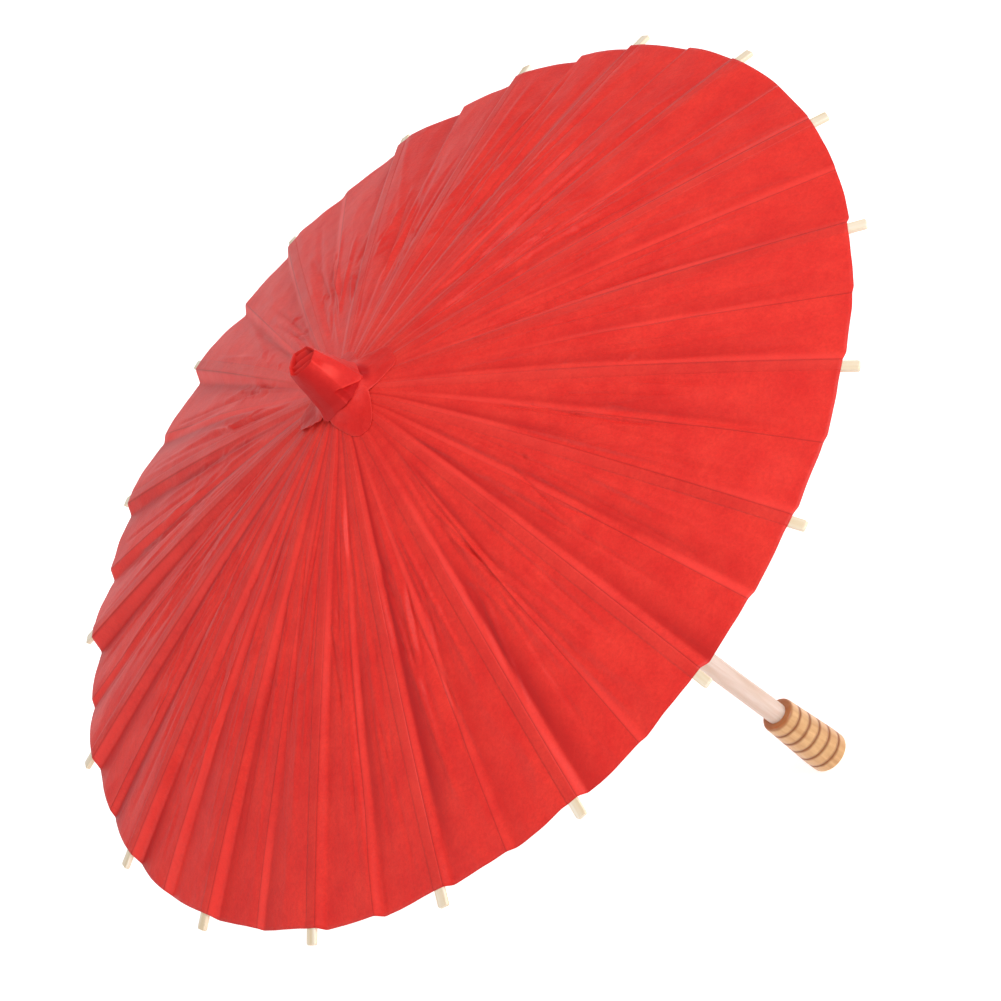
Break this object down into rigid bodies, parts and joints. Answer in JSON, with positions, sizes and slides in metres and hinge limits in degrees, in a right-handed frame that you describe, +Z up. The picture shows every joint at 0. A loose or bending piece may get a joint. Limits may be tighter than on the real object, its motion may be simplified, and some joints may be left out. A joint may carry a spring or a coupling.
{
  "type": "oil paper umbrella",
  "caption": "Open paper parasol with bamboo ribs and folding stretchers, a sliding runner, a paper cap and a turned wooden grip.",
  "frame": {"origin": "centre of the grip's lower end face", "axes": "+Z up along the shaft to the cap, +X along the first rib, +Y a quarter turn anticlockwise from above"},
  "size_m": [0.4178, 0.4192, 0.3415],
  "materials": {
    "canopy_paper": "oiled red paper, matt with a faint sheen",
    "cap_paper": "folded red paper in two layers",
    "bamboo": "split bamboo, planed, unvarnished",
    "shaft_wood": "pale beech dowel, sanded",
    "grip_wood": "turned wood, varnished, with burned rings",
    "hub_wood": "turned wood, unvarnished",
    "steel": "plain steel"
  },
  "bodies": {
    "root": {"shaft": "shaft_wood", "grip": "grip_wood", "crown_hub": "hub_wood", "crown_wire": "steel", "canopy": "canopy_paper", "cap_cone": "cap_paper", "cap_skirt": "cap_paper", "catch_pin": "steel"},
    "runner": {"runner": "hub_wood"},
    "catch": {"catch": "steel"},
    "rib_00": {"rib_00": "bamboo"},
    "stretcher_00": {"stretcher_00": "bamboo"},
    "rib_01": {"rib_01": "bamboo"},
    "stretcher_01": {"stretcher_01": "bamboo"},
    "rib_02": {"rib_02": "bamboo"},
    "stretcher_02": {"stretcher_02": "bamboo"},
    "rib_03": {"rib_03": "bamboo"},
    "stretcher_03": {"stretcher_03": "bamboo"},
    "rib_04": {"rib_04": "bamboo"},
    "stretcher_04": {"stretcher_04": "bamboo"},
    "rib_05": {"rib_05": "bamboo"},
    "stretcher_05": {"stretcher_05": "bamboo"},
    "rib_06": {"rib_06": "bamboo"},
    "stretcher_06": {"stretcher_06": "bamboo"},
    "rib_07": {"rib_07": "bamboo"},
    "stretcher_07": {"stretcher_07": "bamboo"},
    "rib_08": {"rib_08": "bamboo"},
    "stretcher_08": {"stretcher_08": "bamboo"},
    "rib_09": {"rib_09": "bamboo"},
    "stretcher_09": {"stretcher_09": "bamboo"},
    "rib_10": {"rib_10": "bamboo"},
    "stretcher_10": {"stretcher_10": "bamboo"},
    "rib_11": {"rib_11": "bamboo"},
    "stretcher_11": {"stretcher_11": "bamboo"},
    "rib_12": {"rib_12": "bamboo"},
    "stretcher_12": {"stretcher_12": "bamboo"},
    "rib_13": {"rib_13": "bamboo"},
    "stretcher_13": {"stretcher_13": "bamboo"},
    "rib_14": {"rib_14": "bamboo"},
    "stretcher_14": {"stretcher_14": "bamboo"},
    "rib_15": {"rib_15": "bamboo"},
    "stretcher_15": {"stretcher_15": "bamboo"},
    "rib_16": {"rib_16": "bamboo"},
    "stretcher_16": {"stretcher_16": "bamboo"},
    "rib_17": {"rib_17": "bamboo"},
    "stretcher_17": {"stretcher_17": "bamboo"},
    "rib_18": {"rib_18": "bamboo"},
    "stretcher_18": {"stretcher_18": "bamboo"}
  },
  "joints": [
    {"name": "runner_slide", "type": "slide", "parent": "root", "child": "runner", "axis": [0, 0, -1], "range_m": [0, 0.13443], "deforming": ["canopy"]},
    {"name": "catch_press", "type": "hinge", "parent": "root", "child": "catch", "pos_m": [0.00118, 0.0002, 0.20989], "axis": [0.1646, -0.9864, 0], "range_deg": [0, 5], "stiffness_Nm_per_rad": 0.3, "springref_deg": -1.15},
    {"name": "rib_00_hinge", "type": "hinge", "parent": "root", "child": "rib_00", "pos_m": [0.0095, 0, 0.31409], "axis": [0, 1, 0], "range_deg": [-1, 68.5]},
    {"name": "stretcher_00_hinge", "type": "hinge", "parent": "rib_00", "child": "stretcher_00", "pos_m": [0.10123, 0, 0.28569], "axis": [0, 1, 0], "range_deg": [-137, 2]},
    {"name": "rib_01_hinge", "type": "hinge", "parent": "root", "child": "rib_01", "pos_m": [0.00899, 0.00308, 0.31409], "axis": [-0.3247, 0.9458, 0], "range_deg": [-1, 68.5]},
    {"name": "stretcher_01_hinge", "type": "hinge", "parent": "rib_01", "child": "stretcher_01", "pos_m": [0.09574, 0.03287, 0.28569], "axis": [-0.3247, 0.9458, 0], "range_deg": [-137, 2]},
    {"name": "rib_02_hinge", "type": "hinge", "parent": "root", "child": "rib_02", "pos_m": [0.0075, 0.00583, 0.31409], "axis": [-0.6142, 0.7891, 0], "range_deg": [-1, 68.5]},
    {"name": "stretcher_02_hinge", "type": "hinge", "parent": "rib_02", "child": "stretcher_02", "pos_m": [0.07988, 0.06218, 0.28569], "axis": [-0.6142, 0.7891, 0], "range_deg": [-137, 2]},
    {"name": "rib_03_hinge", "type": "hinge", "parent": "root", "child": "rib_03", "pos_m": [0.0052, 0.00795, 0.31409], "axis": [-0.8372, 0.5469, 0], "range_deg": [-1, 68.5]},
    {"name": "stretcher_03_hinge", "type": "hinge", "parent": "rib_03", "child": "stretcher_03", "pos_m": [0.05537, 0.08475, 0.28569], "axis": [-0.8372, 0.5469, 0], "range_deg": [-137, 2]},
    {"name": "rib_04_hinge", "type": "hinge", "parent": "root", "child": "rib_04", "pos_m": [0.00233, 0.00921, 0.31409], "axis": [-0.9694, 0.2455, 0], "range_deg": [-1, 68.5]},
    {"name": "stretcher_04_hinge", "type": "hinge", "parent": "rib_04", "child": "stretcher_04", "pos_m": [0.02485, 0.09813, 0.28569], "axis": [-0.9694, 0.2455, 0], "range_deg": [-137, 2]},
    {"name": "rib_05_hinge", "type": "hinge", "parent": "root", "child": "rib_05", "pos_m": [-0.00078, 0.00947, 0.31409], "axis": [-0.9966, -0.0826, 0], "range_deg": [-1, 68.5]},
    {"name": "stretcher_05_hinge", "type": "hinge", "parent": "rib_05", "child": "stretcher_05", "pos_m": [-0.00836, 0.10088, 0.28569], "axis": [-0.9966, -0.0826, 0], "range_deg": [-137, 2]},
    {"name": "rib_06_hinge", "type": "hinge", "parent": "root", "child": "rib_06", "pos_m": [-0.00382, 0.0087, 0.31409], "axis": [-0.9158, -0.4017, 0], "range_deg": [-1, 68.5]},
    {"name": "stretcher_06_hinge", "type": "hinge", "parent": "rib_06", "child": "stretcher_06", "pos_m": [-0.04066, 0.0927, 0.28569], "axis": [-0.9158, -0.4017, 0], "range_deg": [-137, 2]},
    {"name": "rib_07_hinge", "type": "hinge", "parent": "root", "child": "rib_07", "pos_m": [-0.00643, 0.00699, 0.31409], "axis": [-0.7357, -0.6773, 0], "range_deg": [-1, 68.5]},
    {"name": "stretcher_07_hinge", "type": "hinge", "parent": "rib_07", "child": "stretcher_07", "pos_m": [-0.06856, 0.07448, 0.28569], "axis": [-0.7357, -0.6773, 0], "range_deg": [-137, 2]},
    {"name": "rib_08_hinge", "type": "hinge", "parent": "root", "child": "rib_08", "pos_m": [-0.00835, 0.00452, 0.31409], "axis": [-0.4759, -0.8795, 0], "range_deg": [-1, 68.5]},
    {"name": "stretcher_08_hinge", "type": "hinge", "parent": "rib_08", "child": "stretcher_08", "pos_m": [-0.08903, 0.04818, 0.28569], "axis": [-0.4759, -0.8795, 0], "range_deg": [-137, 2]},
    {"name": "rib_09_hinge", "type": "hinge", "parent": "root", "child": "rib_09", "pos_m": [-0.00937, 0.00156, 0.31409], "axis": [-0.1646, -0.9864, 0], "range_deg": [-1, 68.5]},
    {"name": "stretcher_09_hinge", "type": "hinge", "parent": "rib_09", "child": "stretcher_09", "pos_m": [-0.09985, 0.01666, 0.28569], "axis": [-0.1646, -0.9864, 0], "range_deg": [-137, 2]},
    {"name": "rib_10_hinge", "type": "hinge", "parent": "root", "child": "rib_10", "pos_m": [-0.00937, -0.00156, 0.31409], "axis": [0.1646, -0.9864, 0], "range_deg": [-1, 68.5]},
    {"name": "stretcher_10_hinge", "type": "hinge", "parent": "rib_10", "child": "stretcher_10", "pos_m": [-0.09985, -0.01666, 0.28569], "axis": [0.1646, -0.9864, 0], "range_deg": [-137, 2]},
    {"name": "rib_11_hinge", "type": "hinge", "parent": "root", "child": "rib_11", "pos_m": [-0.00835, -0.00452, 0.31409], "axis": [0.4759, -0.8795, 0], "range_deg": [-1, 68.5]},
    {"name": "stretcher_11_hinge", "type": "hinge", "parent": "rib_11", "child": "stretcher_11", "pos_m": [-0.08903, -0.04818, 0.28569], "axis": [0.4759, -0.8795, 0], "range_deg": [-137, 2]},
    {"name": "rib_12_hinge", "type": "hinge", "parent": "root", "child": "rib_12", "pos_m": [-0.00643, -0.00699, 0.31409], "axis": [0.7357, -0.6773, 0], "range_deg": [-1, 68.5]},
    {"name": "stretcher_12_hinge", "type": "hinge", "parent": "rib_12", "child": "stretcher_12", "pos_m": [-0.06856, -0.07448, 0.28569], "axis": [0.7357, -0.6773, 0], "range_deg": [-137, 2]},
    {"name": "rib_13_hinge", "type": "hinge", "parent": "root", "child": "rib_13", "pos_m": [-0.00382, -0.0087, 0.31409], "axis": [0.9158, -0.4017, 0], "range_deg": [-1, 68.5]},
    {"name": "stretcher_13_hinge", "type": "hinge", "parent": "rib_13", "child": "stretcher_13", "pos_m": [-0.04066, -0.0927, 0.28569], "axis": [0.9158, -0.4017, 0], "range_deg": [-137, 2]},
    {"name": "rib_14_hinge", "type": "hinge", "parent": "root", "child": "rib_14", "pos_m": [-0.00078, -0.00947, 0.31409], "axis": [0.9966, -0.0826, 0], "range_deg": [-1, 68.5]},
    {"name": "stretcher_14_hinge", "type": "hinge", "parent": "rib_14", "child": "stretcher_14", "pos_m": [-0.00836, -0.10088, 0.28569], "axis": [0.9966, -0.0826, 0], "range_deg": [-137, 2]},
    {"name": "rib_15_hinge", "type": "hinge", "parent": "root", "child": "rib_15", "pos_m": [0.00233, -0.00921, 0.31409], "axis": [0.9694, 0.2455, 0], "range_deg": [-1, 68.5]},
    {"name": "stretcher_15_hinge", "type": "hinge", "parent": "rib_15", "child": "stretcher_15", "pos_m": [0.02485, -0.09813, 0.28569], "axis": [0.9694, 0.2455, 0], "range_deg": [-137, 2]},
    {"name": "rib_16_hinge", "type": "hinge", "parent": "root", "child": "rib_16", "pos_m": [0.0052, -0.00795, 0.31409], "axis": [0.8372, 0.5469, 0], "range_deg": [-1, 68.5]},
    {"name": "stretcher_16_hinge", "type": "hinge", "parent": "rib_16", "child": "stretcher_16", "pos_m": [0.05537, -0.08475, 0.28569], "axis": [0.8372, 0.5469, 0], "range_deg": [-137, 2]},
    {"name": "rib_17_hinge", "type": "hinge", "parent": "root", "child": "rib_17", "pos_m": [0.0075, -0.00583, 0.31409], "axis": [0.6142, 0.7891, 0], "range_deg": [-1, 68.5]},
    {"name": "stretcher_17_hinge", "type": "hinge", "parent": "rib_17", "child": "stretcher_17", "pos_m": [0.07988, -0.06218, 0.28569], "axis": [0.6142, 0.7891, 0], "range_deg": [-137, 2]},
    {"name": "rib_18_hinge", "type": "hinge", "parent": "root", "child": "rib_18", "pos_m": [0.00899, -0.00308, 0.31409], "axis": [0.3247, 0.9458, 0], "range_deg": [-1, 68.5]},
    {"name": "stretcher_18_hinge", "type": "hinge", "parent": "rib_18", "child": "stretcher_18", "pos_m": [0.09574, -0.03287, 0.28569], "axis": [0.3247, 0.9458, 0], "range_deg": [-137, 2]}
  ],
  "couplings": [
    {"joint": "rib_00_hinge", "follows": "runner_slide", "rad_per_m": 8.7636},
    {"joint": "stretcher_00_hinge", "follows": "runner_slide", "rad_per_m": -17.527},
    {"joint": "rib_01_hinge", "follows": "runner_slide", "rad_per_m": 8.7636},
    {"joint": "stretcher_01_hinge", "follows": "runner_slide", "rad_per_m": -17.527},
    {"joint": "rib_02_hinge", "follows": "runner_slide", "rad_per_m": 8.7636},
    {"joint": "stretcher_02_hinge", "follows": "runner_slide", "rad_per_m": -17.527},
    {"joint": "rib_03_hinge", "follows": "runner_slide", "rad_per_m": 8.7636},
    {"joint": "stretcher_03_hinge", "follows": "runner_slide", "rad_per_m": -17.527},
    {"joint": "rib_04_hinge", "follows": "runner_slide", "rad_per_m": 8.7636},
    {"joint": "stretcher_04_hinge", "follows": "runner_slide", "rad_per_m": -17.527},
    {"joint": "rib_05_hinge", "follows": "runner_slide", "rad_per_m": 8.7636},
    {"joint": "stretcher_05_hinge", "follows": "runner_slide", "rad_per_m": -17.527},
    {"joint": "rib_06_hinge", "follows": "runner_slide", "rad_per_m": 8.7636},
    {"joint": "stretcher_06_hinge", "follows": "runner_slide", "rad_per_m": -17.527},
    {"joint": "rib_07_hinge", "follows": "runner_slide", "rad_per_m": 8.7636},
    {"joint": "stretcher_07_hinge", "follows": "runner_slide", "rad_per_m": -17.527},
    {"joint": "rib_08_hinge", "follows": "runner_slide", "rad_per_m": 8.7636},
    {"joint": "stretcher_08_hinge", "follows": "runner_slide", "rad_per_m": -17.527},
    {"joint": "rib_09_hinge", "follows": "runner_slide", "rad_per_m": 8.7636},
    {"joint": "stretcher_09_hinge", "follows": "runner_slide", "rad_per_m": -17.527},
    {"joint": "rib_10_hinge", "follows": "runner_slide", "rad_per_m": 8.7636},
    {"joint": "stretcher_10_hinge", "follows": "runner_slide", "rad_per_m": -17.527},
    {"joint": "rib_11_hinge", "follows": "runner_slide", "rad_per_m": 8.7636},
    {"joint": "stretcher_11_hinge", "follows": "runner_slide", "rad_per_m": -17.527},
    {"joint": "rib_12_hinge", "follows": "runner_slide", "rad_per_m": 8.7636},
    {"joint": "stretcher_12_hinge", "follows": "runner_slide", "rad_per_m": -17.527},
    {"joint": "rib_13_hinge", "follows": "runner_slide", "rad_per_m": 8.7636},
    {"joint": "stretcher_13_hinge", "follows": "runner_slide", "rad_per_m": -17.527},
    {"joint": "rib_14_hinge", "follows": "runner_slide", "rad_per_m": 8.7636},
    {"joint": "stretcher_14_hinge", "follows": "runner_slide", "rad_per_m": -17.527},
    {"joint": "rib_15_hinge", "follows": "runner_slide", "rad_per_m": 8.7636},
    {"joint": "stretcher_15_hinge", "follows": "runner_slide", "rad_per_m": -17.527},
    {"joint": "rib_16_hinge", "follows": "runner_slide", "rad_per_m": 8.7636},
    {"joint": "stretcher_16_hinge", "follows": "runner_slide", "rad_per_m": -17.527},
    {"joint": "rib_17_hinge", "follows": "runner_slide", "rad_per_m": 8.7636},
    {"joint": "stretcher_17_hinge", "follows": "runner_slide", "rad_per_m": -17.527},
    {"joint": "rib_18_hinge", "follows": "runner_slide", "rad_per_m": 8.7636},
    {"joint": "stretcher_18_hinge", "follows": "runner_slide", "rad_per_m": -17.527}
  ]
}
